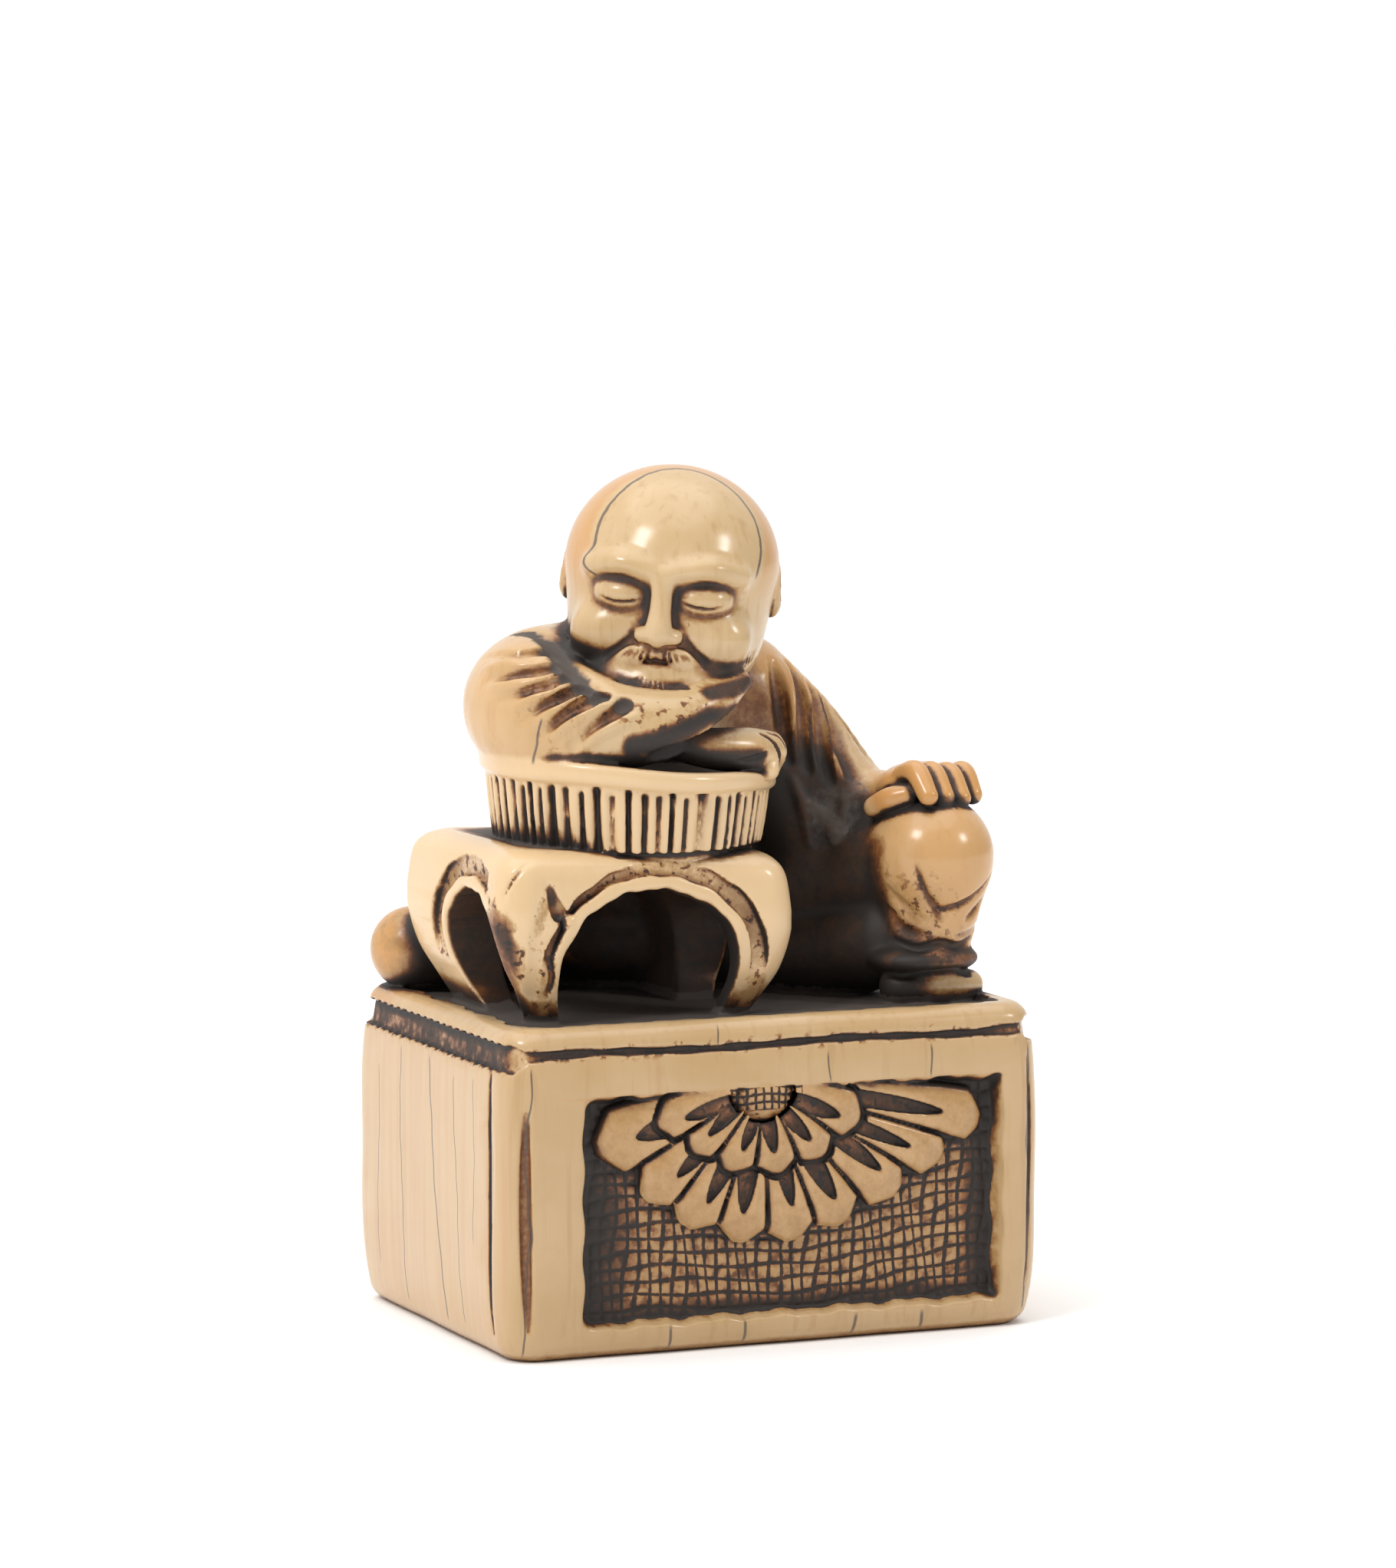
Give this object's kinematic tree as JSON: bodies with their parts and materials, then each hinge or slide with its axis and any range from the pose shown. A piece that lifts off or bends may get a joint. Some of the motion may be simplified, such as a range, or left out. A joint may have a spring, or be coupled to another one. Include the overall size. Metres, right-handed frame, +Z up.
{
  "type": "netsuke",
  "caption": "Carved toggle for a cord: a bald, bearded man dozes over a fluted tub on a low table, one knee raised, all on an oblong block with a flower panel.",
  "frame": {"origin": "middle of the block's underside, which is the middle of the footprint", "axes": "+Z up, -Y towards the block's flower panel, +X to the right as seen facing the panel; the raised knee is on the +X side"},
  "size_m": [0.0276, 0.0208, 0.0409],
  "materials": {
    "ivory": "polished ivory, cream with tan and orange patches, brown to black stain in the carving"
  },
  "bodies": {
    "root": {"netsuke": "ivory"}
  },
  "joints": []
}
